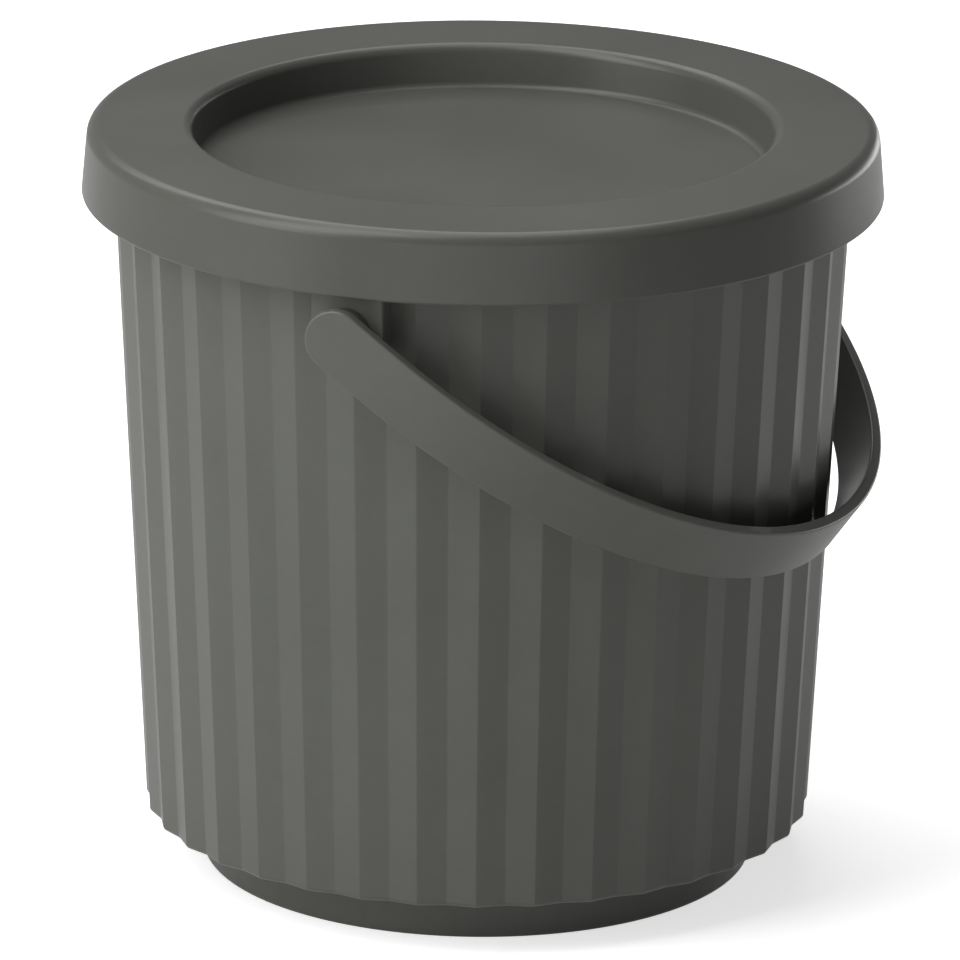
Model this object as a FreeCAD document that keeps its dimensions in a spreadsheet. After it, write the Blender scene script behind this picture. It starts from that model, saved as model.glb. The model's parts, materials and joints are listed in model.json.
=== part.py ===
# Round waste bin: a tapered bucket with zigzag pleats, a lift-off lid with a dished top,
# and a strap handle that swings on two pins. Millimetres, +Z up. The origin is the centre
# of the foot's underside, the pins lie along Y and the resting handle points to +X.
import FreeCAD, Part
import math
import os
import Sketcher

# Driving sizes, each with a name of its own

SIZES = {
    # bucket rim, which the other radii follow
    "bucket_height": 226.0,
    "bucket_wall": 2.2,
    "rim_radius": 115.2,
    "rim_lip": 8.0,
    "rim_edge": 0.8,
    # pleated wall and foot
    "rim_reach": 4.2,
    "wall_taper": 10.7,
    "pleat_count": 36,
    "pleat_depth": 1.85,
    "pleat_end_round": 3.0,
    "foot_height": 15.5,
    "foot_step": 17.5,
    "foot_spread": 1.2,
    "foot_edge": 1.5,
    # pivot pads and pins
    "pivot_drop": 30.4,
    "pad_setback": 0.6,
    "pad_half_width": 11.1,
    "pad_wall": 3.0,
    "pad_edge": 0.5,
    "pocket_rise": 19.0,
    "pin_radius": 4.0,
    "pin_head_radius": 7.0,
    "pin_head": 2.0,
    "pin_edge": 0.4,
    "pin_play": 0.06,
    "side_play": 0.3,
    # lid
    "lid_play": 2.5,
    "lid_height": 21.0,
    "lid_lean": 1.8,
    "lid_wall": 2.3,
    "lid_round": 4.0,
    "lid_edge": 0.6,
    "lid_seat_gap": 0.2,
    "lid_border": 32.8,
    "dish_depth": 13.0,
    "dish_lean": 1.7,
    "dish_lip_round": 2.2,
    "dish_floor_round": 1.2,
    # handle
    "handle_play": 1.1,
    "handle_leg": 15.2,
    "strap_width": 18.5,
    "strap_thickness": 3.7,
    "strap_edge": 0.8,
    "hub_radius": 7.5,
    "handle_rest_gap": 0.5,
    # how far a cut or a fused block runs past the face that it meets
    "overrun": 1.0,
}

# how far past the ridges the rounding of their lower ends reaches, as a share of their lean
END_REACH_SHARE = 1.3

doc = FreeCAD.newDocument("waste_bin")
sheet = doc.addObject("Spreadsheet::Sheet", "sizes")
for row, (alias, value) in enumerate(SIZES.items(), start=1):
    sheet.set(f"A{row}", alias)
    sheet.set(f"B{row}", str(value))
    sheet.setAlias(f"B{row}", alias)
doc.recompute()


class Measure:
    """A number worked out from the sheet, with the formula that keeps it tied to the sheet."""

    def __init__(self, value, formula):
        self.value = value
        self.formula = formula

    def joined(self, sign, other, result):
        return Measure(result, f"({self.formula} {sign} {measure(other).formula})")

    def __add__(self, other):
        return self.joined("+", other, self.value + measure(other).value)

    def __sub__(self, other):
        return self.joined("-", other, self.value - measure(other).value)

    def __mul__(self, other):
        return self.joined("*", other, self.value * measure(other).value)

    def __truediv__(self, other):
        return self.joined("/", other, self.value / measure(other).value)

    def __neg__(self):
        return Measure(-self.value, f"(-{self.formula})")


def measure(thing):
    """A plain number becomes a measure too."""
    return thing if isinstance(thing, Measure) else Measure(thing, str(thing))


class Sizes:
    """The sheet's aliases as measures, such as s.lid_height."""

    def __getattr__(self, alias):
        return Measure(float(sheet.get(alias)), f"sizes.{alias}")


s = Sizes()
ZERO = measure(0)

# The rim sets the bucket's width, and the lid, the handle and the pivots follow it.
ridge_radius_high = s.rim_radius - s.rim_reach
ridge_radius_low = ridge_radius_high - s.wall_taper
foot_radius = ridge_radius_low - s.foot_step
pad_face = s.rim_radius - s.pad_setback
pivot_height = s.bucket_height - s.pivot_drop
lid_radius = s.rim_radius + s.lid_play + s.lid_wall
dish_radius = lid_radius - s.lid_border
strap_inside = lid_radius + s.handle_play
handle_radius = strap_inside + s.strap_thickness

# two places closer than this are the same place
TOUCH = 1e-4


def bind(thing, measures):
    """Tie properties of a document object to measures."""
    for place, amount in measures.items():
        thing.setExpression(place, amount.formula)


# Bodies and sketches

def new_body(label):
    body = doc.addObject("PartDesign::Body", label)
    body.Label = label
    return body


def origin_plane(body, role):
    """The body's own origin plane with this role, such as XZ_Plane."""
    return next(plane for plane in body.Origin.OriginFeatures if plane.Role == role)


def outline(body, name, role, corners, offset=ZERO):
    """A closed outline, anticlockwise. A corner is two measures, across and up. Two more
    measures start an arc to the next corner, and give the arc's centre."""
    start, end, centre = 1, 2, 3
    sketch = body.newObject("Sketcher::SketchObject", name)
    sketch.AttachmentSupport = [(origin_plane(body, role), "")]
    sketch.MapMode = "FlatFace"
    bind(sketch, {"AttachmentOffset.Base.z": offset})

    def hold(edge, point, **places):
        for kind, amount in places.items():
            index = sketch.addConstraint(Sketcher.Constraint(kind, edge, point, amount.value))
            bind(sketch, {f"Constraints[{index}]": amount})

    points = [FreeCAD.Vector(corner[0].value, corner[1].value, 0) for corner in corners]
    following = points[1:] + points[:1]
    for corner, here, there in zip(corners, points, following):
        side = Part.LineSegment(here, there)
        if len(corner) > 2:
            middle = FreeCAD.Vector(corner[2].value, corner[3].value, 0)
            turns = [math.atan2(end_point.y - middle.y, end_point.x - middle.x)
                     for end_point in (here, there)]
            circle = Part.Circle(middle, FreeCAD.Vector(0, 0, 1), (here - middle).Length)
            side = Part.ArcOfCircle(circle, *turns)
        sketch.addGeometry(side, False)
    for index, corner in enumerate(corners):
        after = (index + 1) % len(corners)
        sketch.addConstraint(Sketcher.Constraint("Coincident", index, end, after, start))
        hold(index, start, DistanceX=corner[0], DistanceY=corner[1])
        if len(corner) > 2:
            # the arc's ends already fix its centre along their own line
            run = following[index] - points[index]
            if abs(run.x) > abs(run.y):
                hold(index, centre, DistanceY=corner[3])
            else:
                hold(index, centre, DistanceX=corner[2])
    return sketch


def turned(body, name, corners):
    """A solid turned about the body's upright axis from an outline of radii and heights."""
    sketch = outline(body, f"{name}_outline", "XZ_Plane", corners)
    revolution = body.newObject("PartDesign::Revolution", name)
    revolution.Profile = sketch
    revolution.ReferenceAxis = (sketch, ["V_Axis"])
    revolution.Angle = 360
    doc.recompute()
    return revolution


def round_edges(body, name, radius, wanted):
    """Round the edges of the body so far that the test picks."""
    base = body.Tip
    names = [f"Edge{number}" for number, edge in enumerate(base.Shape.Edges, start=1) if wanted(edge)]
    fillet = body.newObject("PartDesign::Fillet", name)
    fillet.Base = (base, names)
    bind(fillet, {"Radius": radius})
    doc.recompute()
    return fillet


def same(first, second):
    return math.isclose(first, second, abs_tol=TOUCH)


def ring(radius, height):
    """A test for the circular edge of this radius about the upright axis at this height."""
    def wanted(edge):
        curve = edge.Curve
        return (isinstance(curve, Part.Circle) and same(abs(curve.Axis.z), 1)
                and same(curve.Radius, radius.value) and same(curve.Center.z, height.value))
    return wanted


# Bucket: the pleated wall

ridge_lean = (ridge_radius_high - ridge_radius_low) / (s.bucket_height - s.foot_height)
valley_share = 1 - s.pleat_depth.value / ridge_radius_high.value


def ridge_radius(height):
    """How far the pleats' ridges stand from the axis at a height."""
    return ridge_radius_low + ridge_lean * (height - s.foot_height)


def pleat_ring(height, inset):
    """Ridge and valley corners in turn, once round, with the first ridge on +X."""
    count = round(s.pleat_count.value)
    ridge = (ridge_radius(height) - inset).value
    corners = []
    for half_step in range(2 * count):
        radius = ridge if half_step % 2 == 0 else ridge * valley_share
        turn = math.pi * half_step / count
        corners.append(FreeCAD.Vector(radius * math.cos(turn), radius * math.sin(turn), height.value))
    return corners


def pleated_block(name, low, high, inset):
    """A solid tapered star: every side is one flat facet, so it is built face by face."""
    lower = pleat_ring(low, inset)
    upper = pleat_ring(high, inset)
    faces = []
    for index in range(len(lower)):
        before = index - 1
        facet = [lower[before], lower[index], upper[index], upper[before], lower[before]]
        faces.append(Part.Face(Part.makePolygon(facet)))
    for ends in (lower, upper):
        faces.append(Part.Face(Part.makePolygon(ends + ends[:1])))
    block = doc.addObject("Part::Feature", name)
    block.Shape = Part.Solid(Part.Shell(faces))
    return block


outer_pleats = pleated_block("outer_pleats", s.foot_height, s.bucket_height, ZERO)
inner_pleats = pleated_block("inner_pleats", s.foot_height + s.bucket_wall,
                             s.bucket_height + s.overrun, s.bucket_wall)

# The envelope rounds the lower ends of the ridges and stays clear of them further up.
end_radius = ridge_radius_low + ridge_lean * s.pleat_end_round * END_REACH_SHARE
end_round_top = s.foot_height + s.pleat_end_round
envelope = new_body("wall_envelope")
turned(envelope, "wall_envelope_turned", [
    (ZERO, s.foot_height),
    (end_radius - s.pleat_end_round, s.foot_height, end_radius - s.pleat_end_round, end_round_top),
    (end_radius, end_round_top),
    (ridge_radius_high + s.overrun, s.bucket_height),
    (ZERO, s.bucket_height),
])
wall = doc.addObject("Part::Common", "pleated_wall")
wall.Base = outer_pleats
wall.Tool = envelope

# Bucket: foot drum, rim and pads

foot = new_body("foot_drum")
foot_top = s.foot_height + s.bucket_wall / 2
turned(foot, "foot_drum_turned", [
    (ZERO, ZERO),
    (foot_radius, ZERO),
    (foot_radius + s.foot_spread, foot_top),
    (ZERO, foot_top),
])
round_edges(foot, "foot_drum_edge", s.foot_edge, ring(foot_radius, ZERO))

foot_well = doc.addObject("Part::Cone", "foot_well")
bind(foot_well, {
    "Radius1": foot_radius - s.bucket_wall,
    "Radius2": foot_radius + s.foot_spread - s.bucket_wall,
    "Height": s.foot_height + s.overrun,
    "Placement.Base.z": s.bucket_wall,
})

rim_inside = ridge_radius_high - s.pleat_depth - s.bucket_wall
rim_shelf = s.bucket_height - s.bucket_wall
rim_foot = s.bucket_height - s.rim_lip
rim = new_body("rim")
turned(rim, "rim_turned", [
    (rim_inside, rim_shelf),
    (s.rim_radius - s.bucket_wall, rim_shelf),
    (s.rim_radius - s.bucket_wall, rim_foot),
    (s.rim_radius, rim_foot),
    (s.rim_radius, s.bucket_height),
    (rim_inside, s.bucket_height),
])
round_edges(rim, "rim_top_edge", s.rim_edge, ring(s.rim_radius, s.bucket_height))
round_edges(rim, "rim_lip_edge", s.rim_edge, ring(s.rim_radius, rim_foot))


def upright_block(name, half_width, top, back, face):
    """A block with a half-round lower end about the pivot, from back to face along -Y."""
    block = new_body(name)
    sketch = outline(block, f"{name}_outline", "XZ_Plane", [
        (-half_width, pivot_height, ZERO, pivot_height),
        (half_width, pivot_height),
        (half_width, top),
        (-half_width, top),
    ], offset=back)
    pad = block.newObject("PartDesign::Pad", f"{name}_pad")
    pad.Profile = sketch
    bind(pad, {"Length": face - back})
    doc.recompute()
    return block


def rear_twin(front, name):
    """The same shape at the rear pivot."""
    twin = doc.addObject("Part::Mirroring", name)
    twin.Source = front
    twin.Normal = FreeCAD.Vector(0, 1, 0)
    return twin


def on_pad_face(edge):
    """True for the outer edges of the front pad, below the rim."""
    on_face = all(same(point.Point.y, -pad_face.value) for point in edge.Vertexes)
    return on_face and edge.CenterOfMass.z < rim_foot.value


behind_wall = ridge_radius_low - s.pleat_depth - s.bucket_wall
front_pad = upright_block("front_pad", s.pad_half_width, s.bucket_height - s.bucket_wall / 2,
                          behind_wall, pad_face)
round_edges(front_pad, "front_pad_edge", s.pad_edge, on_pad_face)
front_pocket = upright_block("front_pocket", s.pad_half_width - s.bucket_wall,
                             pivot_height + s.pocket_rise,
                             behind_wall, pad_face - s.pad_wall)

pivot_bore = doc.addObject("Part::Cylinder", "pivot_bore")
pivot_bore.Placement.Rotation = FreeCAD.Rotation(FreeCAD.Vector(1, 0, 0), 90)
bind(pivot_bore, {
    "Radius": s.pin_radius + s.pin_play,
    "Height": (pad_face + s.overrun) * 2,
    "Placement.Base.y": pad_face + s.overrun,
    "Placement.Base.z": pivot_height,
})

bucket_block = doc.addObject("Part::MultiFuse", "bucket_block")
bucket_block.Shapes = [wall, foot, rim, front_pad, rear_twin(front_pad, "rear_pad")]
bucket_hollow = doc.addObject("Part::MultiFuse", "bucket_hollow")
bucket_hollow.Shapes = [inner_pleats, foot_well, front_pocket,
                        rear_twin(front_pocket, "rear_pocket"), pivot_bore]
bucket = doc.addObject("Part::Cut", "bucket")
bucket.Label = "bucket"
bucket.Base = bucket_block
bucket.Tool = bucket_hollow

# Lid: one turned section, drawn with its skirt's lower edge at height 0

skirt_top = lid_radius - s.lid_lean
dish_floor = dish_radius - s.dish_lean
dish_height = s.lid_height - s.dish_depth
under_top = s.lid_height - s.lid_wall
under_dish = dish_height - s.lid_wall
lid = new_body("lid")
turned(lid, "lid_turned", [
    (ZERO, under_dish),
    (dish_floor + s.lid_wall, under_dish),
    (dish_radius + s.lid_wall, under_top),
    (skirt_top - s.lid_wall, under_top),
    (lid_radius - s.lid_wall, ZERO),
    (lid_radius, ZERO),
    (skirt_top, s.lid_height),
    (dish_radius, s.lid_height),
    (dish_floor, dish_height),
    (ZERO, dish_height),
])
round_edges(lid, "lid_outer_round", s.lid_round, ring(skirt_top, s.lid_height))
round_edges(lid, "lid_inner_round", s.lid_round - s.lid_wall, ring(skirt_top - s.lid_wall, under_top))
round_edges(lid, "lid_skirt_edge", s.lid_edge, ring(lid_radius, ZERO))
round_edges(lid, "dish_lip", s.dish_lip_round, ring(dish_radius, s.lid_height))
round_edges(lid, "dish_floor_corner", s.dish_floor_round, ring(dish_floor, dish_height))
round_edges(lid, "dish_under_corner", s.dish_floor_round + s.lid_wall,
            ring(dish_floor + s.lid_wall, under_dish))
bind(lid, {"Placement.Base.z": s.bucket_height + s.lid_seat_gap - under_top})

# Handle: drawn flat, with the pivots on Y and the strap running out to +X

handle = new_body("handle")


def bail_outline(name, reach, back):
    """A straight-legged half circle of this radius, open towards the pivots."""
    return outline(handle, name, "XY_Plane", [
        (back, -reach),
        (s.handle_leg, -reach, s.handle_leg, ZERO),
        (s.handle_leg, reach),
        (back, reach),
    ])


strap = handle.newObject("PartDesign::Pad", "strap")
strap.Profile = bail_outline("strap_outline", handle_radius, ZERO)
strap.Midplane = True
bind(strap, {"Length": s.strap_width})
doc.recompute()
strap_opening = handle.newObject("PartDesign::Pocket", "strap_opening")
strap_opening.Profile = bail_outline("strap_opening_outline", strap_inside, -s.overrun)
strap_opening.Midplane = True
bind(strap_opening, {"Length": s.strap_width + s.overrun * 2})
doc.recompute()


def cross_cylinders(kind, name, radius, near, far):
    """Two cylinders along Y, one at each pivot, from near to far out from the middle."""
    for end, first in (("front", near), ("rear", -far)):
        cylinder = handle.newObject(kind, f"{end}_{name}")
        cylinder.AttachmentSupport = [(origin_plane(handle, "XZ_Plane"), "")]
        cylinder.MapMode = "FlatFace"
        bind(cylinder, {"Radius": radius, "Height": far - near, "AttachmentOffset.Base.z": first})
        doc.recompute()


hub_face = pad_face + s.side_play
cross_cylinders("PartDesign::AdditiveCylinder", "strap_end",
                s.strap_width / 2, strap_inside, handle_radius)
cross_cylinders("PartDesign::AdditiveCylinder", "hub",
                s.hub_radius, hub_face, strap_inside + s.strap_thickness / 2)
cross_cylinders("PartDesign::SubtractiveCylinder", "hub_bore",
                s.pin_radius, hub_face - s.overrun, strap_inside)

half_strap = s.strap_width / 2


def on_strap_side(edge):
    """True for the long edges of the strap and of its round ends."""
    middle = edge.valueAt(edge.getParameterByLength(edge.Length / 2))
    on_strap = math.hypot(middle.x, middle.y) > (hub_face + s.side_play).value
    on_side = same(abs(middle.z), half_strap.value)
    on_end = same(math.hypot(middle.x, middle.z), half_strap.value) and middle.x < 0
    along_y = same(edge.BoundBox.YLength, s.strap_thickness.value)
    return on_strap and (on_side or on_end) and not along_y


round_edges(handle, "strap_edges", s.strap_edge, on_strap_side)

# At rest the strap's lower inner edge comes down to the ridge under it.
arm = (s.handle_leg + strap_inside).value
swing_radius = math.hypot(arm, half_strap.value)
wall_lean = math.atan(ridge_lean.value)
wall_reach = (ridge_radius(pivot_height) + s.handle_rest_gap).value * math.cos(wall_lean)
rest_angle = wall_lean + math.acos(wall_reach / swing_radius) - math.atan(half_strap.value / arm)
handle.Placement = FreeCAD.Placement(
    FreeCAD.Vector(0, 0, pivot_height.value),
    FreeCAD.Rotation(FreeCAD.Vector(0, 1, 0), math.degrees(rest_angle)))
print(f"handle rests {math.degrees(rest_angle):.3f} degrees below level")

# Pivot pins: the head lies in the pad's pocket and the shank is pressed into the hub

pin_length = s.pin_head + s.pad_wall + strap_inside - pad_face
head_back = pad_face - s.pad_wall - s.side_play - s.pin_head


def pivot_pin(name, side):
    """A headed pin along Y: side is -1 at the front and 1 at the rear."""
    pin = new_body(name)
    turned(pin, f"{name}_turned", [
        (ZERO, ZERO),
        (s.pin_head_radius, ZERO),
        (s.pin_head_radius, s.pin_head),
        (s.pin_radius, s.pin_head),
        (s.pin_radius, pin_length),
        (ZERO, pin_length),
    ])
    round_edges(pin, f"{name}_head_edge", s.pin_edge, ring(s.pin_head_radius, ZERO))
    round_edges(pin, f"{name}_tip_edge", s.pin_edge, ring(s.pin_radius, pin_length))
    pin.Placement = FreeCAD.Placement(
        FreeCAD.Vector(0, side * head_back.value, pivot_height.value),
        FreeCAD.Rotation(FreeCAD.Vector(1, 0, 0), -90 * side))
    return pin


subparts = [bucket, lid, handle, pivot_pin("front_pivot_pin", -1), pivot_pin("rear_pivot_pin", 1)]
doc.recompute()

# Check everything, then write one file for each sub-part

for item in doc.Objects:
    faults = {"Invalid", "Error"} & set(item.State)
    if faults:
        raise RuntimeError(f"{item.Name} is {faults}")
for subpart in subparts:
    shape = subpart.Shape
    if shape.isNull() or not shape.isValid() or len(shape.Solids) != 1:
        raise RuntimeError(f"{subpart.Label} has no valid single solid")

os.makedirs("parts", exist_ok=True)
for subpart in subparts:
    subpart.Shape.exportStep(f"parts/{subpart.Label}.step")
    box = subpart.Shape.optimalBoundingBox()
    print(f"{subpart.Label}: {subpart.Shape.Volume:.0f} mm3, "
          f"x {box.XMin:.1f} to {box.XMax:.1f}, y {box.YMin:.1f} to {box.YMax:.1f}, "
          f"z {box.ZMin:.1f} to {box.ZMax:.1f}")
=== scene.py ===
# %% [markdown]
# A round waste bin in dark grey moulded plastic: a pleated bucket on a low foot drum, a
# lift-off lid with a dished top, and a strap handle on two pins. The engineering model gives
# the place and size of every piece, and this script gives each one its finished surface.

import json
import math

import bmesh
import bpy
from mathutils import Matrix, Vector


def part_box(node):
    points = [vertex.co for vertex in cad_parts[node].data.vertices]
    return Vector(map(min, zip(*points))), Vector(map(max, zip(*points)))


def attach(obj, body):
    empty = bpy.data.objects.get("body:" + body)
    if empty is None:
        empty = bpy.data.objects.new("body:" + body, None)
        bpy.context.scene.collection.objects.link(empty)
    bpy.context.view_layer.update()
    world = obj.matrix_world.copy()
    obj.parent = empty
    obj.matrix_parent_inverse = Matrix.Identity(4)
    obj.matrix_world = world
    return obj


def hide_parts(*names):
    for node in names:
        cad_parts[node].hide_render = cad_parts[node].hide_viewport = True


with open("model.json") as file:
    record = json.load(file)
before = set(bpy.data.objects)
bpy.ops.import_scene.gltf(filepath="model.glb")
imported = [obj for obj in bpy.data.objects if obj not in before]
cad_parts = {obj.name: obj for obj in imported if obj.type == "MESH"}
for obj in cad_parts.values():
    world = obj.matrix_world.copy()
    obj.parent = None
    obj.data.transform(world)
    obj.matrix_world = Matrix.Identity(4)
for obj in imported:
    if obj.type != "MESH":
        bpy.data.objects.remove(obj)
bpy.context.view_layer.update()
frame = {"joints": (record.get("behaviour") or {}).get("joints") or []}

# %% [markdown]
# Everything is in metres. The overall sizes are read from the frame, so the finished pieces
# follow the engineering model. The smaller sizes that a bounding box can't tell, such as wall
# thicknesses and roundings, are written beside the piece that uses them.

# %% Overall sizes from the frame
bucket_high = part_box("bucket")[1]
lid_low, lid_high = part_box("lid")
handle_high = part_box("handle")[1]
BUCKET_HEIGHT = bucket_high.z
RIM_RADIUS = bucket_high.x
LID_RADIUS = lid_high.x
HANDLE_RADIUS = handle_high.y
swing = next(joint for joint in frame["joints"] if joint["type"] == "hinge")
PIVOT_HEIGHT = swing["pos_m"][2]
print(f"bucket {BUCKET_HEIGHT:.4f} high, rim {RIM_RADIUS:.4f}, lid {LID_RADIUS:.4f}, "
      f"handle {HANDLE_RADIUS:.4f}, pivots at {PIVOT_HEIGHT:.4f}")

# %% [markdown]
# Most pieces of a moulded bin are a section carried round an axis. The section is drawn as a
# few corners, each with the radius that the mould's edge has there, because a real moulded
# edge is never sharp and the rounding is what catches the light. A bevel modifier could round
# the finished mesh, but it gives every edge one width. So one helper rounds the drawing
# instead: it replaces each corner with a short arc that meets both sides smoothly.

# %% A section with rounded corners
ARC_STEPS = 6


def rounded(corners):
    """Points of a closed outline whose corners (across, up, radius) are rounded off."""
    points = []
    for index, (across, up, radius) in enumerate(corners):
        corner = Vector((across, up))
        if radius == 0:
            points.append(corner)
            continue
        back = (Vector(corners[index - 1][:2]) - corner).normalized()
        ahead = (Vector(corners[(index + 1) % len(corners)][:2]) - corner).normalized()
        half_angle = back.angle(ahead) / 2
        centre = corner + (back + ahead).normalized() * (radius / math.sin(half_angle))
        reach = radius / math.tan(half_angle)
        first = corner + back * reach - centre
        last = corner + ahead * reach - centre
        for step in range(ARC_STEPS + 1):
            spoke = first.lerp(last, step / ARC_STEPS).normalized() * radius
            points.append(centre + spoke)
    return points


print(f"a rounded corner is drawn with {ARC_STEPS + 1} points")

# %% [markdown]
# The section is then carried round the upright axis. A plain screw or spin would give a round
# piece only. Here the section may change with the angle, which is how the bucket gets its
# pleats from the same helper: every spoke of the mesh asks for its own section, and
# neighbouring sections are joined with four-sided faces. A point on the axis is one shared
# vertex, so the middle of the floor closes without a hole.

# %% Carry a section round the axis
def finished_object(name, mesh_data):
    """An object in the scene from a bmesh, which is freed."""
    mesh = bpy.data.meshes.new(name)
    mesh_data.to_mesh(mesh)
    mesh_data.free()
    piece = bpy.data.objects.new(name, mesh)
    bpy.context.scene.collection.objects.link(piece)
    print(f"made {name} with {len(mesh.polygons)} faces")
    return piece


def carried_round(name, section_at, spokes):
    """A closed mesh: section_at(angle) gives the outline's points at each angle in spokes."""
    mesh_data = bmesh.new()
    sections = [section_at(angle) for angle in spokes]
    middle = {}
    rings = []
    for angle, section in zip(spokes, sections):
        ring = []
        for place, (across, up) in enumerate(section):
            if across == 0:
                if place not in middle:
                    middle[place] = mesh_data.verts.new((0, 0, up))
                ring.append(middle[place])
            else:
                spot = (across * math.cos(angle), across * math.sin(angle), up)
                ring.append(mesh_data.verts.new(spot))
        rings.append(ring)
    count = len(sections[0])
    for index, ring in enumerate(rings):
        following = rings[(index + 1) % len(rings)]
        for place in range(count):
            after = (place + 1) % count
            corners = [ring[place], following[place], following[after], ring[after]]
            distinct = list(dict.fromkeys(corners))
            if len(distinct) > 2:
                mesh_data.faces.new(distinct)
    bmesh.ops.recalc_face_normals(mesh_data, faces=mesh_data.faces)
    return finished_object(name, mesh_data)


def even_spokes(count):
    """This many angles, evenly spaced round the axis."""
    return [2 * math.pi * index / count for index in range(count)]


# %% [markdown]
# Pads, pockets, hubs and bores are joined to the round pieces or cut out of them, as a tool
# maker would. Modelling them into the pleated mesh face by face would be long work. Blender's
# exact boolean does it in one step. Its result is written back into the mesh, so that the
# finished piece is one closed skin with nothing hidden inside it. Where two edges cross, a
# boolean can leave corners a hair apart with a sliver between them, so corners closer than
# MERGE become one and faces without area go.

# %% Join and cut solids
MERGE = 0.000001


def without_slivers(mesh):
    """Merge the corners that lie together and drop the faces that have no area."""
    mesh_data = bmesh.new()
    mesh_data.from_mesh(mesh)
    bmesh.ops.remove_doubles(mesh_data, verts=mesh_data.verts, dist=MERGE)
    bmesh.ops.dissolve_degenerate(mesh_data, edges=mesh_data.edges, dist=MERGE)
    mesh_data.to_mesh(mesh)
    mesh_data.free()


def worked(piece, tool, operation):
    """Join the tool to the piece or cut it out, and remove the tool."""
    step = piece.modifiers.new(operation.lower(), "BOOLEAN")
    step.operation = operation
    step.solver = "EXACT"
    step.object = tool
    dressed = piece.evaluated_get(bpy.context.evaluated_depsgraph_get())
    result = bpy.data.meshes.new_from_object(dressed)
    result.name = piece.name
    without_slivers(result)
    piece.modifiers.clear()
    piece.data = result
    print(f"{piece.name} {operation.lower()} {tool.name}: {len(result.polygons)} faces")
    bpy.data.objects.remove(tool)


# %% [markdown]
# Smooth shading bends light across flat faces unless the flat faces win at their corners.
# Edges turned more than SHARP_TURN stay crisp, and the weighted normals let each large flat
# face keep its own direction, so only the small arcs between them look round. At the highest
# weight, a large face wins over a small one at every corner that they share.

# %% Shading of a finished piece
SHARP_TURN = math.radians(31)
LARGE_FACE_WEIGHT = 100


def shade(piece):
    """Smooth the arcs of a finished piece and keep its flats flat."""
    piece.data.shade_smooth()
    piece.data.set_sharp_from_angle(angle=SHARP_TURN)
    weighting = piece.modifiers.new("weighted_normals", "WEIGHTED_NORMAL")
    weighting.keep_sharp = True
    weighting.weight = LARGE_FACE_WEIGHT
    print(f"{piece.name} is finished with {len(piece.data.polygons)} faces")


# %% [markdown]
# The finish is satin moulded polypropylene, dark warm grey right through. The mould's spark
# eroded skin gives it a very fine grain that spreads the light, so the gloss is broad and
# soft. Three things keep it from looking like a flat colour: a faint clouding where the
# coloured plastic flowed, a slow change of gloss over a hand's width, and the grain itself as
# bump. The edges also get a painted highlight: where the surface curves strongly, its colour is painted
# a touch paler.
#
# Clouds, gloss and grain come from noise textures. They need no picture and no unwrapping, and
# they have the same scale on every piece, because they are laid out in metres. A noise seldom
# leaves the middle of its range, so that middle is what is mapped to the values wanted.

# %% Noise and its range
NOISE_LOW = 0.35
NOISE_HIGH = 0.65


def noise(nodes, links, where, size, detail):
    """A noise texture whose features are about this size in metres."""
    texture = nodes.new("ShaderNodeTexNoise")
    texture.inputs["Scale"].default_value = 1 / size
    texture.inputs["Detail"].default_value = detail
    links.new(where.outputs["Object"], texture.inputs["Vector"])
    return texture


def spread(nodes, links, source, low, high, start=NOISE_LOW, end=NOISE_HIGH):
    """Map the range from start to end, or a noise's middle, to low and high."""
    mapping = nodes.new("ShaderNodeMapRange")
    mapping.inputs["From Min"].default_value = start
    mapping.inputs["From Max"].default_value = end
    mapping.inputs["To Min"].default_value = low
    mapping.inputs["To Max"].default_value = high
    links.new(source, mapping.inputs["Value"])
    return mapping.outputs["Result"]


def varied(nodes, links, where, size, detail, middle, reach):
    """A level that wanders by this reach to both sides of its middle value."""
    texture = noise(nodes, links, where, size, detail)
    return spread(nodes, links, texture.outputs["Fac"], middle - reach, middle + reach)


def relief(nodes, links, where, size, depth, detail):
    """A bump node fed by noise, this deep in metres."""
    texture = noise(nodes, links, where, size, detail)
    bump = nodes.new("ShaderNodeBump")
    bump.inputs["Strength"].default_value = 1
    bump.inputs["Distance"].default_value = depth
    links.new(texture.outputs["Fac"], bump.inputs["Height"])
    return bump


print(f"a noise's range from {NOISE_LOW} to {NOISE_HIGH} is put to use")

# %% [markdown]
# The colour is one grey, made a little lighter or darker by three levels multiplied together:
# the clouds, a finer mottle and a painted highlight that pales the strongly curved edges. The
# bump is two reliefs, one on top of the other: long soft waves where the plastic flowed, and
# the mould's fine grain. The refraction and the strength of the reflection are the same all
# over, so they are set on the shader itself.

# %% Sizes and strengths of the finish
CLOUD_SIZE = 0.045
CLOUD_DETAIL = 3
CLOUD_SPREAD = 0.03
MOTTLE_SIZE = 0.004
MOTTLE_DETAIL = 4
MOTTLE_SPREAD = 0.015
GLOSS_SIZE = 0.09
GLOSS_DETAIL = 2
GLOSS_SPREAD = 0.03
# Painted highlight on the edges: it begins and is full between these two curvatures, and makes the
# colour up to this many times paler.
EDGE_START = 0.52
EDGE_FULL = 0.58
EDGE_HIGHLIGHT_PALING = 1.5
FLOW_SIZE = 0.03
FLOW_DEPTH = 0.00005
FLOW_DETAIL = 1
GRAIN_SIZE = 0.0004
GRAIN_DEPTH = 0.00002
GRAIN_DETAIL = 3
PLASTIC_IOR = 1.46
PLASTIC_SPECULAR = 0.3
print(f"clouds {CLOUD_SIZE * 1000:.0f} mm wide, grain {GRAIN_SIZE * 1000:.1f} mm")


# %% Moulded plastic
def calculated(nodes, links, operation, first, second):
    """The result of a sum, product or comparison of two sockets."""
    step = nodes.new("ShaderNodeMath")
    step.operation = operation
    links.new(first, step.inputs[0])
    links.new(second, step.inputs[1])
    return step.outputs["Value"]


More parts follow.
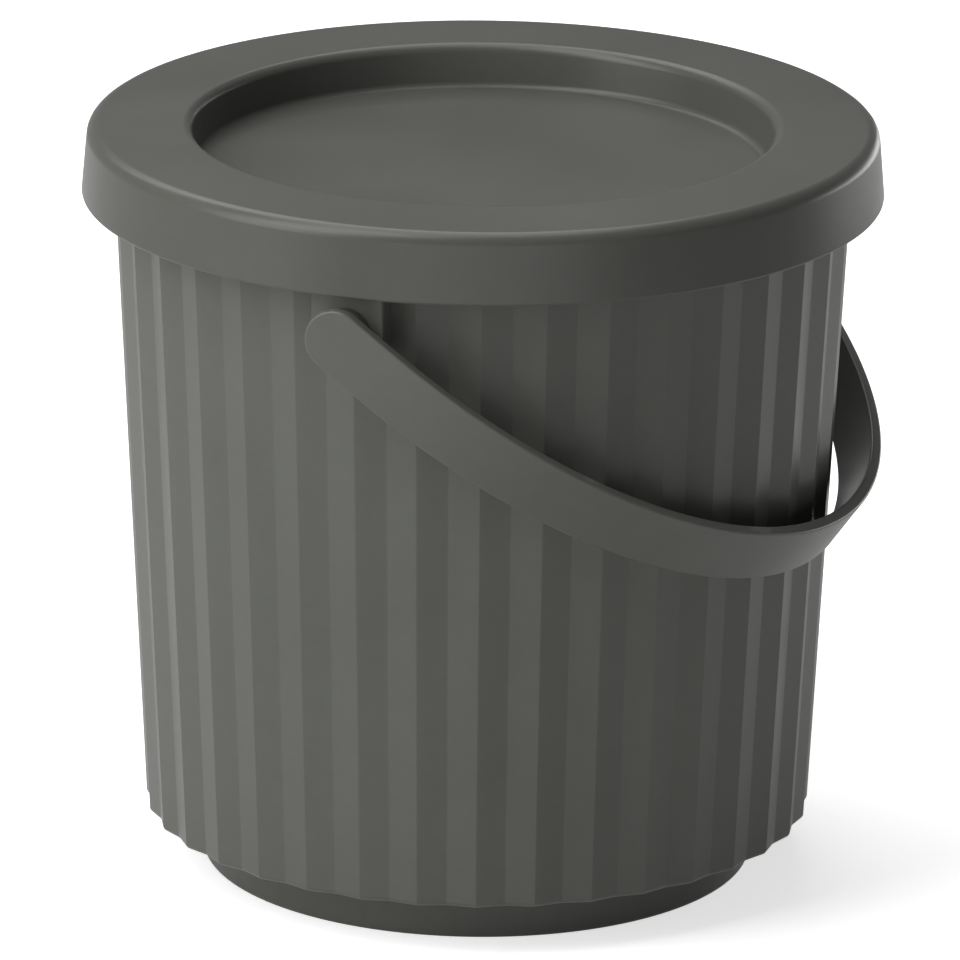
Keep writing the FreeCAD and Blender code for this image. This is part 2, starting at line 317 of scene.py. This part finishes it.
def moulded_plastic(name, colour, roughness):
    """Satin plastic of this colour, with clouds, painted edge highlights, uneven gloss and a fine
    grain.
    """
    material = bpy.data.materials.new(name)
    material.use_nodes = True
    nodes, links = material.node_tree.nodes, material.node_tree.links
    shader = nodes["Principled BSDF"]
    shader.inputs["IOR"].default_value = PLASTIC_IOR
    shader.inputs["Specular IOR Level"].default_value = PLASTIC_SPECULAR
    where = nodes.new("ShaderNodeTexCoord")

    clouds = varied(nodes, links, where, CLOUD_SIZE, CLOUD_DETAIL, 1, CLOUD_SPREAD)
    mottle = varied(nodes, links, where, MOTTLE_SIZE, MOTTLE_DETAIL, 1, MOTTLE_SPREAD)
    geometry = nodes.new("ShaderNodeNewGeometry")
    # Painted highlight on the edges: the more strongly the surface curves, the paler its colour is
    # painted.
    edges = spread(nodes, links, geometry.outputs["Pointiness"], 1, EDGE_HIGHLIGHT_PALING, EDGE_START, EDGE_FULL)
    level = calculated(nodes, links, "MULTIPLY", clouds, mottle)
    level = calculated(nodes, links, "MULTIPLY", level, edges)
    tint = nodes.new("ShaderNodeVectorMath")
    tint.operation = "SCALE"
    tint.inputs["Vector"].default_value = colour
    links.new(level, tint.inputs["Scale"])
    links.new(tint.outputs["Vector"], shader.inputs["Base Color"])

    gloss = varied(nodes, links, where, GLOSS_SIZE, GLOSS_DETAIL, roughness, GLOSS_SPREAD)
    links.new(gloss, shader.inputs["Roughness"])

    flow = relief(nodes, links, where, FLOW_SIZE, FLOW_DEPTH, FLOW_DETAIL)
    grain = relief(nodes, links, where, GRAIN_SIZE, GRAIN_DEPTH, GRAIN_DETAIL)
    links.new(flow.outputs["Normal"], grain.inputs["Normal"])
    links.new(grain.outputs["Normal"], shader.inputs["Normal"])
    print(f"{name}: colour {tuple(round(part, 4) for part in colour)}, roughness {roughness}")
    return material


# %% [markdown]
# The bin has one grey, written once, and each moulding has its own share of it, which makes
# it a little lighter or darker. The pins, which show only from inside, are a little darker and duller.

# %% The four finishes
BIN_GREY = Vector((0.0805, 0.0825, 0.0735))
BUCKET_TONE_SHARE = 1.19
LID_TONE_SHARE = 0.96
HANDLE_TONE_SHARE = 1.20
PIN_TONE_SHARE = 0.87
BIN_ROUGHNESS = 0.31
PIN_ROUGHNESS = 0.4
bucket_plastic = moulded_plastic("bucket_plastic", BIN_GREY * BUCKET_TONE_SHARE, BIN_ROUGHNESS)
lid_plastic = moulded_plastic("lid_plastic", BIN_GREY * LID_TONE_SHARE, BIN_ROUGHNESS)
handle_plastic = moulded_plastic("handle_plastic", BIN_GREY * HANDLE_TONE_SHARE, BIN_ROUGHNESS)
pin_plastic = moulded_plastic("pin_plastic", BIN_GREY * PIN_TONE_SHARE, PIN_ROUGHNESS)


# %% Dress a finished piece
def dress(piece, material, body, slot, *nodes):
    """Give a finished piece its material, its body and the nodes that it stands for."""
    piece.data.materials.clear()
    piece.data.materials.append(material)
    shade(piece)
    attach(piece, body)
    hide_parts(*nodes)


# %% [markdown]
# The bucket's wall is folded into 36 pleats like a paper lamp shade: flat facets that meet in
# ridges and valleys. The pleats stiffen a thin wall. One pleat with an array modifier could
# make them, but its copies would have to be sewn to each other and to the foot and rim. A
# formula gives one closed mesh instead: seen from above, a facet is a straight line from a
# ridge to a valley, so its distance from the axis follows the polar formula of a line.
#
# Near each ridge and valley two extra spokes stand a hair's breadth to the sides, and the
# point between them is drawn in, which rounds the fold just enough to glint. These two spokes
# belong to the facets, and FOLD_EDGE_SHARE keeps rounding errors from deciding that.

# %% Pleats seen from above
PLEAT_COUNT = 36
PLEAT_DEPTH = 0.00185
FOLD_ROUND = 0.0003
FOLD_EDGE_SHARE = 0.99
WALL = 0.0022
RIM_REACH = 0.0042
WALL_TAPER = 0.0107
FOOT_HEIGHT = 0.0155
ridge_high = RIM_RADIUS - RIM_REACH
ridge_low = ridge_high - WALL_TAPER
wall_lean = (ridge_high - ridge_low) / (BUCKET_HEIGHT - FOOT_HEIGHT)
valley_share = 1 - PLEAT_DEPTH / ridge_high
half_pleat = math.pi / PLEAT_COUNT
fold_turn = FOLD_ROUND / ridge_high


def straight_share(turn):
    """Distance from the axis along a facet, as a share of the ridge's, this far round from it."""
    both_ends = math.sin(turn) + valley_share * math.sin(half_pleat - turn)
    return valley_share * math.sin(half_pleat) / both_ends


def pleat_share(angle):
    """Distance from the axis of the rounded pleats at any angle, as a share of the ridge's."""
    turn = abs((angle + half_pleat) % (2 * half_pleat) - half_pleat)
    from_fold = min(turn, half_pleat - turn)
    if from_fold >= fold_turn * FOLD_EDGE_SHARE:
        return straight_share(turn)
    beside = fold_turn if turn < half_pleat / 2 else half_pleat - fold_turn
    return (straight_share(turn) + straight_share(beside)) / 2


def pleat_spokes():
    """The angles at which the pleated wall has points: eight to a pleat."""
    offsets = [0, fold_turn, half_pleat / 2, half_pleat - fold_turn,
               half_pleat, half_pleat + fold_turn, half_pleat * 3 / 2, 2 * half_pleat - fold_turn]
    return [2 * half_pleat * pleat + offset for pleat in range(PLEAT_COUNT) for offset in offsets]


print(f"{PLEAT_COUNT} pleats, ridges from {ridge_low:.4f} at the foot to {ridge_high:.4f} at the rim")

# %% [markdown]
# The bucket is drawn twice: as a solid lump with its outer shape, and as the hollow that is cut
# out of it once the pads are on, so that the pads end flush with the wall inside. The outer
# section runs from the middle of the foot, out and up the wall, and over the rim. The foot drum
# is plain, so its corners ignore the pleats. The wall's corners are scaled by the pleat's
# share, so the wall's lower end is a zigzag too, which the photograph shows as a wavy edge.
# Rows of points between the foot and the rim cut the tall facets up, because the finish finds
# its edges from vertex to vertex and would otherwise smear one edge's painted highlight right up a
# facet.

# %% Bucket sections
FOOT_STEP = 0.0175
FOOT_SPREAD = 0.0012
FOOT_EDGE = 0.0015
WALL_END_ROUND = 0.0018
RIM_LIP = 0.008
RIM_EDGE = 0.0008
INSIDE_EDGE = 0.0006
FLOOR_ROUND = 0.001
WALL_ROWS = 16
foot_radius = ridge_low - FOOT_STEP
well_radius = foot_radius - WALL
shelf_height = BUCKET_HEIGHT - WALL


def ridge_radius(height):
    """How far the ridges stand from the axis at this height."""
    return ridge_low + wall_lean * (height - FOOT_HEIGHT)


def rows(low, high, setback, share):
    """Points up the wall between two heights, this far behind its outer face."""
    heights = [low + (high - low) * row / (WALL_ROWS + 1) for row in range(1, WALL_ROWS + 1)]
    return [((ridge_radius(height) - setback) * share, height, 0) for height in heights]


def outside_section(angle):
    """The solid bucket's outline at this angle, from the foot's middle to the rim's."""
    share = pleat_share(angle)
    return rounded([
        (0, 0, 0),
        (foot_radius, 0, FOOT_EDGE),
        (foot_radius + FOOT_SPREAD, FOOT_HEIGHT, INSIDE_EDGE),
        (ridge_low * share, FOOT_HEIGHT, WALL_END_ROUND),
        *rows(FOOT_HEIGHT, shelf_height, 0, share),
        (ridge_radius(shelf_height) * share, shelf_height, INSIDE_EDGE),
        (RIM_RADIUS - WALL, shelf_height, INSIDE_EDGE),
        (RIM_RADIUS - WALL, BUCKET_HEIGHT - RIM_LIP, INSIDE_EDGE),
        (RIM_RADIUS, BUCKET_HEIGHT - RIM_LIP, RIM_EDGE),
        (RIM_RADIUS, BUCKET_HEIGHT, RIM_EDGE),
        (0, BUCKET_HEIGHT, 0),
    ])


def hollow_section(angle):
    """The outline of the space inside, which runs out past the rim's top."""
    share = pleat_share(angle)
    floor_height = FOOT_HEIGHT + WALL
    inside_high = (ridge_high - WALL) * share
    return rounded([
        (0, WALL, 0),
        (well_radius, WALL, FLOOR_ROUND),
        (well_radius + FOOT_SPREAD, floor_height, FLOOR_ROUND),
        ((ridge_radius(floor_height) - WALL) * share, floor_height, FLOOR_ROUND),
        *rows(floor_height, BUCKET_HEIGHT - RIM_EDGE, WALL, share),
        (inside_high, BUCKET_HEIGHT - RIM_EDGE, RIM_EDGE),
        (inside_high + 2 * RIM_EDGE, BUCKET_HEIGHT + RIM_EDGE, 0),
        (0, BUCKET_HEIGHT + RIM_EDGE, 0),
    ])


bucket = carried_round("bucket_shell", outside_section, pleat_spokes())

# %% [markdown]
# Two flat pads stand out from the pleats under the rim, front and rear, and carry the handle's
# pins. Each is a hollow box with a half-round lower end: the wall folds out round a pocket
# that is open to the inside, so the plastic is about as thick everywhere and cools without
# sink marks. One helper draws the block for the pad and, smaller, for its pocket. Only the
# pad's outer edges are rounded, so the bevel is made before the block is joined to the wall.

# %% Sizes of pads, pockets and bores
PAD_SETBACK = 0.0006
PAD_HALF_WIDTH = 0.0111
PAD_WALL = 0.003
PAD_EDGE = 0.0014
POCKET_RISE = 0.019
PIN_RADIUS = 0.004
PIN_PLAY = 0.00006
OVERRUN = 0.001
pad_face = RIM_RADIUS - PAD_SETBACK
pocket_face = pad_face - PAD_WALL
behind_wall = (ridge_low - PLEAT_DEPTH) - WALL
print(f"pad faces at {pad_face:.4f} from the axis, pockets end at {pocket_face:.4f}")

# %% A block with a half-round lower end
HALF_ROUND_STEPS = 32
PAD_EDGE_STEPS = 4
ROUND_PROFILE = 0.5


def upright_block(name, side, half_width, top, back, face, edge):
    """A block with a half-round lower end about the pivot, from back to face along Y."""
    outline = []
    for step in range(HALF_ROUND_STEPS + 1):
        turn = math.pi * (1 + step / HALF_ROUND_STEPS)
        outline.append((half_width * math.cos(turn), PIVOT_HEIGHT + half_width * math.sin(turn)))
    outline += [(half_width, top), (-half_width, top)]
    mesh_data = bmesh.new()
    inner, outer = [[mesh_data.verts.new((across, side * depth, up)) for across, up in outline]
                    for depth in (back, face)]
    mesh_data.faces.new(inner)
    outer_face = mesh_data.faces.new(outer)
    for index in range(len(outline)):
        after = (index + 1) % len(outline)
        mesh_data.faces.new((inner[index], inner[after], outer[after], outer[index]))
    if edge:
        bmesh.ops.bevel(mesh_data, geom=list(outer_face.edges), offset=edge,
                        segments=PAD_EDGE_STEPS, affect="EDGES", profile=ROUND_PROFILE)
    bmesh.ops.recalc_face_normals(mesh_data, faces=mesh_data.faces)
    return finished_object(name, mesh_data)


# %% A rod along the pivots
ROD_SIDES = 64


def rod(name, radius, start, end):
    """A plain cylinder along Y through the pivots, used to join or to cut."""
    mesh_data = bmesh.new()
    bmesh.ops.create_cone(mesh_data, cap_ends=True, segments=ROD_SIDES, radius1=radius,
                          radius2=radius, depth=abs(end - start))
    piece = finished_object(name, mesh_data)
    middle = Vector((0, (start + end) / 2, PIVOT_HEIGHT))
    piece.data.transform(Matrix.Translation(middle) @ Matrix.Rotation(math.pi / 2, 4, "X"))
    return piece


# %% Pads, hollow, pockets and bores
for side in (-1, 1):
    pad = upright_block("pad", side, PAD_HALF_WIDTH, BUCKET_HEIGHT - WALL / 2,
                        behind_wall, pad_face, PAD_EDGE)
    worked(bucket, pad, "UNION")
hollow = carried_round("hollow", hollow_section, pleat_spokes())
worked(bucket, hollow, "DIFFERENCE")
for side in (-1, 1):
    pocket = upright_block("pocket", side, PAD_HALF_WIDTH - WALL, PIVOT_HEIGHT + POCKET_RISE,
                           behind_wall, pocket_face, 0)
    worked(bucket, pocket, "DIFFERENCE")
    bore = rod("pin_bore", PIN_RADIUS + PIN_PLAY, side * (pocket_face - OVERRUN),
               side * (pad_face + OVERRUN))
    worked(bucket, bore, "DIFFERENCE")
dress(bucket, bucket_plastic, "bucket", "bucket", "bucket")

# %% [markdown]
# The lid is one turned moulding. Its top is a flat ring with a wide round shoulder, sunk in
# the middle to a shallow dish, and its skirt hangs outside the bucket's rim. The underside
# follows the top at an even wall thickness, so it shows the dish as a boss. The bucket's
# helper makes it too, because a section that stays the same at every angle is just a simpler
# case. Every corner has its own radius, and the shoulder's is the widest of the outside.

# %% Lid
LID_SPOKES = 288
LID_WALL = 0.0023
LID_LEAN = 0.0018
LID_SHOULDER = 0.004
LID_EDGE = 0.0008
LID_BORDER = 0.0328
DISH_DEPTH = 0.013
DISH_LEAN = 0.0017
DISH_LIP = 0.003
DISH_CORNER = 0.002
lid_bottom, lid_top = lid_low.z, lid_high.z
shoulder_radius = LID_RADIUS - LID_LEAN
dish_radius = LID_RADIUS - LID_BORDER
dish_floor_radius = dish_radius - DISH_LEAN
dish_floor = lid_top - DISH_DEPTH
lid_points = rounded([
    (0, dish_floor - LID_WALL, 0),
    (dish_floor_radius + LID_WALL, dish_floor - LID_WALL, DISH_CORNER + LID_WALL),
    (dish_radius + LID_WALL, lid_top - LID_WALL, INSIDE_EDGE),
    (shoulder_radius - LID_WALL, lid_top - LID_WALL, LID_SHOULDER - LID_WALL),
    (LID_RADIUS - LID_WALL, lid_bottom, INSIDE_EDGE),
    (LID_RADIUS, lid_bottom, LID_EDGE),
    (shoulder_radius, lid_top, LID_SHOULDER),
    (dish_radius, lid_top, DISH_LIP),
    (dish_floor_radius, dish_floor, DISH_CORNER),
    (0, dish_floor, 0),
])
lid = carried_round("lid_shell", lambda angle: lid_points, even_spokes(LID_SPOKES))
dress(lid, lid_plastic, "lid", "lid", "lid")

# %% [markdown]
# The handle is a flat strap with round ends, bent into a half circle round the bucket. A curve
# with a flat bevel would give the band, but not its round ends. It is easiest to draw before
# it is bent: a long flat slab whose outline is a stadium, with all its edges rounded. Each
# vertex has a place along the strap, one across its width and one through its thickness.
# Bending then only says where "along" goes. Stations across the slab stand closer together at
# the round ends, and every face is a simple strip from side to side.

# %% Handle strap before bending
STRAP_WIDTH = 0.0185
STRAP_THICKNESS = 0.0037
STRAP_EDGE = 0.0007
HANDLE_LEG = 0.0152
BEND_STATIONS = 120
LEG_STATIONS = 6
END_STATIONS = 16
EDGE_STEPS = 5
middle_radius = HANDLE_RADIUS - STRAP_THICKNESS / 2
strap_length = 2 * HANDLE_LEG + math.pi * middle_radius


def edge_rings():
    """How far in from the outline and how high the rounded edge lies, from face to face."""
    rings = []
    for face in (1, -1):
        for step in range(EDGE_STEPS + 1):
            turn = math.pi / 2 * (step if face == 1 else EDGE_STEPS - step) / EDGE_STEPS
            inset = STRAP_EDGE * (1 - math.sin(turn))
            height = STRAP_THICKNESS / 2 - STRAP_EDGE * (1 - math.cos(turn))
            rings.append((inset, face * height))
    return rings


def stations():
    """Where the strips across the slab lie: the place along the middle, and the turn at an end."""
    found = []
    for step in range(END_STATIONS):
        found.append((0, -math.pi / 2 * (1 - step / END_STATIONS)))
    steps = [HANDLE_LEG * step / LEG_STATIONS for step in range(LEG_STATIONS)]
    steps += [HANDLE_LEG + math.pi * middle_radius * step / BEND_STATIONS
              for step in range(BEND_STATIONS)]
    steps += [strap_length - HANDLE_LEG * (1 - step / LEG_STATIONS) for step in range(LEG_STATIONS + 1)]
    found += [(along, 0) for along in steps]
    for step in range(1, END_STATIONS + 1):
        found.append((strap_length, math.pi / 2 * step / END_STATIONS))
    return found


def bent(along, across, outward):
    """Where a point of the flat slab comes to lie: the strap leaves the front pivot towards +X."""
    reach = middle_radius + outward
    bend = (along - HANDLE_LEG) / middle_radius
    if bend <= 0:
        return Vector((along, -reach, across))
    if bend >= math.pi:
        return Vector((strap_length - along, reach, across))
    return Vector((HANDLE_LEG + reach * math.sin(bend), -reach * math.cos(bend), across))


print(f"strap {strap_length:.3f} long before bending, drawn at {len(stations())} stations")

# %% [markdown]
# At the very ends both sides of the slab meet in one point, and merging vertices that lie
# together closes the tips. Inside each end stands a short round hub, which keeps the strap
# clear of the lid and takes the pin. The whole handle is then turned down to where it rests on
# the pleats, about 35.5 degrees below level.

# %% Handle
HUB_RADIUS = 0.0075
SIDE_PLAY = 0.0003
REST_ANGLE = math.radians(35.531)


def strap_slab(name):
    """The bent strap, level, with its pivots at their height."""
    mesh_data = bmesh.new()
    rings = edge_rings()
    strips = []
    for along, turn in stations():
        loop = []
        for side in (1, -1):
            for inset, height in (rings if side == 1 else rings[::-1]):
                half_width = STRAP_WIDTH / 2 - inset
                place = along + half_width * math.sin(turn)
                across = side * half_width * math.cos(turn)
                loop.append(mesh_data.verts.new(bent(place, across, height)))
        strips.append(loop)
    for first, second in zip(strips, strips[1:]):
        for index in range(len(first)):
            after = (index + 1) % len(first)
            mesh_data.faces.new((first[index], first[after], second[after], second[index]))
    bmesh.ops.remove_doubles(mesh_data, verts=mesh_data.verts, dist=MERGE)
    bmesh.ops.recalc_face_normals(mesh_data, faces=mesh_data.faces)
    piece = finished_object(name, mesh_data)
    piece.data.transform(Matrix.Translation((0, 0, PIVOT_HEIGHT)))
    return piece


handle = strap_slab("handle_strap")
hub_face = pad_face + SIDE_PLAY
strap_inside = HANDLE_RADIUS - STRAP_THICKNESS
for side in (-1, 1):
    hub = rod("hub", HUB_RADIUS, side * hub_face, side * (strap_inside + STRAP_THICKNESS / 2))
    worked(handle, hub, "UNION")
    bore = rod("hub_bore", PIN_RADIUS, side * (hub_face - OVERRUN), side * strap_inside)
    worked(handle, bore, "DIFFERENCE")
pivot = Matrix.Translation((0, 0, PIVOT_HEIGHT))
handle.data.transform(pivot @ Matrix.Rotation(REST_ANGLE, 4, "Y") @ pivot.inverted())
dress(handle, handle_plastic, "handle", "handle", "handle")

# %% [markdown]
# A headed pin is pushed outwards through each pad from the pocket and pressed into the
# handle's hub. Only its head shows, and only from inside the bucket. It is drawn upright as a
# turned section and then laid along Y.

# %% Pivot pins
PIN_HEAD_RADIUS = 0.007
PIN_HEAD = 0.002
PIN_EDGE = 0.0004
PIN_SPOKES = 64
pin_length = PIN_HEAD + PAD_WALL + strap_inside - pad_face
head_back = pocket_face - SIDE_PLAY - PIN_HEAD
pin_points = rounded([
    (0, 0, 0),
    (PIN_HEAD_RADIUS, 0, PIN_EDGE),
    (PIN_HEAD_RADIUS, PIN_HEAD, PIN_EDGE),
    (PIN_RADIUS, PIN_HEAD, PIN_EDGE),
    (PIN_RADIUS, pin_length, PIN_EDGE),
    (0, pin_length, 0),
])
for end, side in (("front", -1), ("rear", 1)):
    pin = carried_round(f"{end}_pin", lambda angle: pin_points, even_spokes(PIN_SPOKES))
    pin.data.transform(Matrix.Translation((0, side * head_back, PIVOT_HEIGHT))
                       @ Matrix.Rotation(-side * math.pi / 2, 4, "X"))
    dress(pin, pin_plastic, "handle", "pivot_pin", f"{end}_pivot_pin")

# %% [markdown]
# The bin stands on a plain pale floor, like the sheet of paper under a product photograph. It
# sends a good part of the light back up, which is what lights the lower wall and the underside
# of the lid's edge, and it keeps the bin's soft shadow. To the camera it also glows, so that
# the open paper comes out white, and more so away from the bin, where the lamps don't reach.
# In the bin's own reflections it is a greyer paper with a weaker glow, so that both sides of
# the wall mirror it about alike. Seen from below, the floor is clear, so that the underside
# can be looked at.
#
# A light path node tells which kind of ray is looking, and mix nodes choose between papers
# accordingly. Small helpers keep that readable.

# %% Papers for different rays
FLOOR_PALE = 0.76
SEEN_GLOW = 0.66
WHITE_GLOW = 1.0
MIRRORED_PALE = 0.5
MIRRORED_GLOW = 0.26
GLOW_START = 0.35
GLOW_FULL = 1.6
MIRRORED_RAYS = ("Is Glossy Ray", "Is Transmission Ray")


def rays(nodes, links, *kinds):
    """1 for light path rays of any of these kinds, 0 for the others."""
    path = nodes.new("ShaderNodeLightPath")
    total = path.outputs[kinds[0]]
    for kind in kinds[1:]:
        total = calculated(nodes, links, "MAXIMUM", total, path.outputs[kind])
    return total


def mixed(nodes, links, factor, first, second):
    """The first shader where the factor is 0, the second where it is 1."""
    blend = nodes.new("ShaderNodeMixShader")
    links.new(factor, blend.inputs[0])
    links.new(first, blend.inputs[1])
    links.new(second, blend.inputs[2])
    return blend.outputs[0]


def glowing_paper(nodes, links, away, pale, near_glow, far_glow):
    """Matt paper of this paleness, and a glow on top that may change with the way from the bin."""
    matt = nodes.new("ShaderNodeBsdfDiffuse")
    matt.inputs["Color"].default_value = (pale, pale, pale, 1)
    glow = nodes.new("ShaderNodeEmission")
    links.new(spread(nodes, links, away, near_glow, far_glow, GLOW_START, GLOW_FULL),
              glow.inputs["Strength"])
    together = nodes.new("ShaderNodeAddShader")
    links.new(matt.outputs[0], together.inputs[0])
    links.new(glow.outputs[0], together.inputs[1])
    return together.outputs[0]


# %% Floor
FLOOR_RADIUS = 6.0
FLOOR_SIDES = 96
floor_data = bmesh.new()
bmesh.ops.create_circle(floor_data, cap_ends=True, segments=FLOOR_SIDES, radius=FLOOR_RADIUS)
floor = finished_object("studio_floor", floor_data)
floor_paper = bpy.data.materials.new("floor_paper")
floor_paper.use_nodes = True
nodes, links = floor_paper.node_tree.nodes, floor_paper.node_tree.links
nodes.remove(nodes["Principled BSDF"])
clear = nodes.new("ShaderNodeBsdfTransparent")
side_seen = nodes.new("ShaderNodeNewGeometry")
place = nodes.new("ShaderNodeTexCoord")
distance = nodes.new("ShaderNodeVectorMath")
distance.operation = "LENGTH"
links.new(place.outputs["Object"], distance.inputs[0])
away = distance.outputs["Value"]
lighting_paper = glowing_paper(nodes, links, away, FLOOR_PALE, 0, 0)
seen_paper = glowing_paper(nodes, links, away, FLOOR_PALE, SEEN_GLOW, WHITE_GLOW)
mirrored_paper = glowing_paper(nodes, links, away, MIRRORED_PALE, MIRRORED_GLOW, MIRRORED_GLOW)
paper = mixed(nodes, links, rays(nodes, links, "Is Camera Ray"), lighting_paper, seen_paper)
paper = mixed(nodes, links, rays(nodes, links, *MIRRORED_RAYS), paper, mirrored_paper)
links.new(mixed(nodes, links, side_seen.outputs["Backfacing"], paper, clear.outputs[0]),
          nodes["Material Output"].inputs["Surface"])
floor.data.materials.append(floor_paper)

# %% [markdown]
# Behind the floor the backdrop is white to the camera. In reflections it is a grey wall that
# fades to a dim ceiling, as in a real studio, so that the lid's flat top keeps its own colour
# instead of mirroring a white sky. Rays that light the object find a weak even ambient light.
# A picture of a studio could stand here, but levels that follow the height of the ray are
# enough, and each can be tuned by itself.

# %% World
WHITE = (1, 1, 1, 1)
AMBIENT = 0.08
HORIZON_LEVEL = 0.4
CEILING_LEVEL = 0.1
CEILING_START = 0.0
CEILING_FULL = 0.25
world = bpy.data.worlds.new("studio")
bpy.context.scene.world = world
world.use_nodes = True
nodes, links = world.node_tree.nodes, world.node_tree.links
ambient = nodes["Background"]
ambient.inputs["Color"].default_value = WHITE
ambient.inputs["Strength"].default_value = AMBIENT
backdrop = nodes.new("ShaderNodeBackground")
backdrop.inputs["Color"].default_value = WHITE
direction = nodes.new("ShaderNodeTexCoord")
height = nodes.new("ShaderNodeSeparateXYZ")
links.new(direction.outputs["Generated"], height.inputs[0])
fade = spread(nodes, links, height.outputs["Z"], HORIZON_LEVEL, CEILING_LEVEL,
              CEILING_START, CEILING_FULL)
links.new(calculated(nodes, links, "MAXIMUM", fade, rays(nodes, links, "Is Camera Ray")),
          backdrop.inputs["Strength"])
shown = rays(nodes, links, "Is Camera Ray", *MIRRORED_RAYS)
links.new(mixed(nodes, links, shown, ambient.outputs[0], backdrop.outputs[0]),
          nodes["World Output"].inputs["Surface"])
print(f"ambient light {AMBIENT}, mirrored wall {HORIZON_LEVEL}, mirrored ceiling {CEILING_LEVEL}")

# %% [markdown]
# The lamps are the soft boxes of a product studio, all plain white. Area lamps stand for them,
# because their size gives soft shadows and broad highlights, where a point lamp or a sun would
# draw hard ones. The main box stands high on the left and in front, and lights the lid's top
# and the left of the wall. A broad one hangs overhead, a little behind the bin, and is
# mirrored as the bright crescent on the lid's near shoulder and the far lip of the dish. A
# narrow strip behind on the left draws the crescent on as a thin line. A lower box on the left
# makes the fall of tone across the wall, a weak wide one in front keeps the middle readable,
# and a strip far round on the right brightens the facets there. That one stands low, so that
# the lid's shoulder doesn't mirror it. Together they are just so bright that a colour renders
# about as it is written.

# %% Lamps
CAMERA_AZIMUTH = math.radians(20)
AIM = Vector((0, 0, BUCKET_HEIGHT / 2))
LAMP_DISTANCE = 1.5


def soft_box(name, around, rise, wide, tall, power):
    """An area lamp that faces the bin. Around is its angle from the camera, to the right."""
    lamp_data = bpy.data.lights.new(name, "AREA")
    lamp_data.shape = "RECTANGLE"
    lamp_data.size = wide
    lamp_data.size_y = tall
    lamp_data.energy = power
    lamp = bpy.data.objects.new(name, lamp_data)
    bpy.context.scene.collection.objects.link(lamp)
    heading = CAMERA_AZIMUTH + math.radians(around)
    level = Vector((math.sin(heading), -math.cos(heading), 0)) * math.cos(math.radians(rise))
    lamp.location = AIM + (level + Vector((0, 0, math.sin(math.radians(rise))))) * LAMP_DISTANCE
    lamp.rotation_euler = (AIM - lamp.location).to_track_quat("-Z", "Y").to_euler()
    print(f"{name}: {power} W from {around} degrees round, {rise} degrees up")


soft_box("high_left_box", around=-60, rise=58, wide=0.7, tall=1.0, power=11.6)
soft_box("overhead_box", around=-168, rise=66, wide=1.0, tall=1.8, power=14.0)
soft_box("back_left_strip", around=-137, rise=46, wide=0.3, tall=0.9, power=2.1)
soft_box("low_left_box", around=-62, rise=23, wide=0.9, tall=1.1, power=13.4)
soft_box("front_fill", around=0, rise=4, wide=1.6, tall=0.4, power=3.0)
soft_box("right_strip", around=134, rise=2, wide=1.3, tall=0.3, power=5.2)

# %% [markdown]
# The camera stands where the photograph's did. A long lens from about three and a half metres
# keeps the sides of the bucket nearly parallel. The place, the tilt and the lens come from
# fitting the circles of the lid, the foot and the wall to the photograph. The Standard view
# transform shows each grey about as it is written, where a filmic one would flatten it.

# %% Camera
CAMERA_DISTANCE = 3.2214
CAMERA_HEIGHT = 1.1493
CAMERA_TILT = math.radians(17.774)
CAMERA_ROLL = math.radians(0.584)
CAMERA_LENS = 421.0
SENSOR_WIDTH = 36
CLIP_SHARE = 10
camera_data = bpy.data.cameras.new("camera")
camera_data.sensor_width = SENSOR_WIDTH
camera_data.lens = CAMERA_LENS
camera = bpy.data.objects.new("camera", camera_data)
bpy.context.scene.collection.objects.link(camera)
turned_camera = (Matrix.Rotation(CAMERA_AZIMUTH, 4, "Z")
                 @ Matrix.Rotation(math.pi / 2 - CAMERA_TILT, 4, "X")
                 @ Matrix.Rotation(CAMERA_ROLL, 4, "Z"))
camera.rotation_euler = turned_camera.to_euler()
camera.location = (CAMERA_DISTANCE * math.sin(CAMERA_AZIMUTH),
                   -CAMERA_DISTANCE * math.cos(CAMERA_AZIMUTH), CAMERA_HEIGHT)
camera_data.clip_end = CAMERA_DISTANCE * CLIP_SHARE
bpy.context.scene.camera = camera
bpy.context.scene.view_settings.view_transform = "Standard"
print(f"camera {camera.location.length:.2f} m from the foot, lens {CAMERA_LENS:.0f} mm")
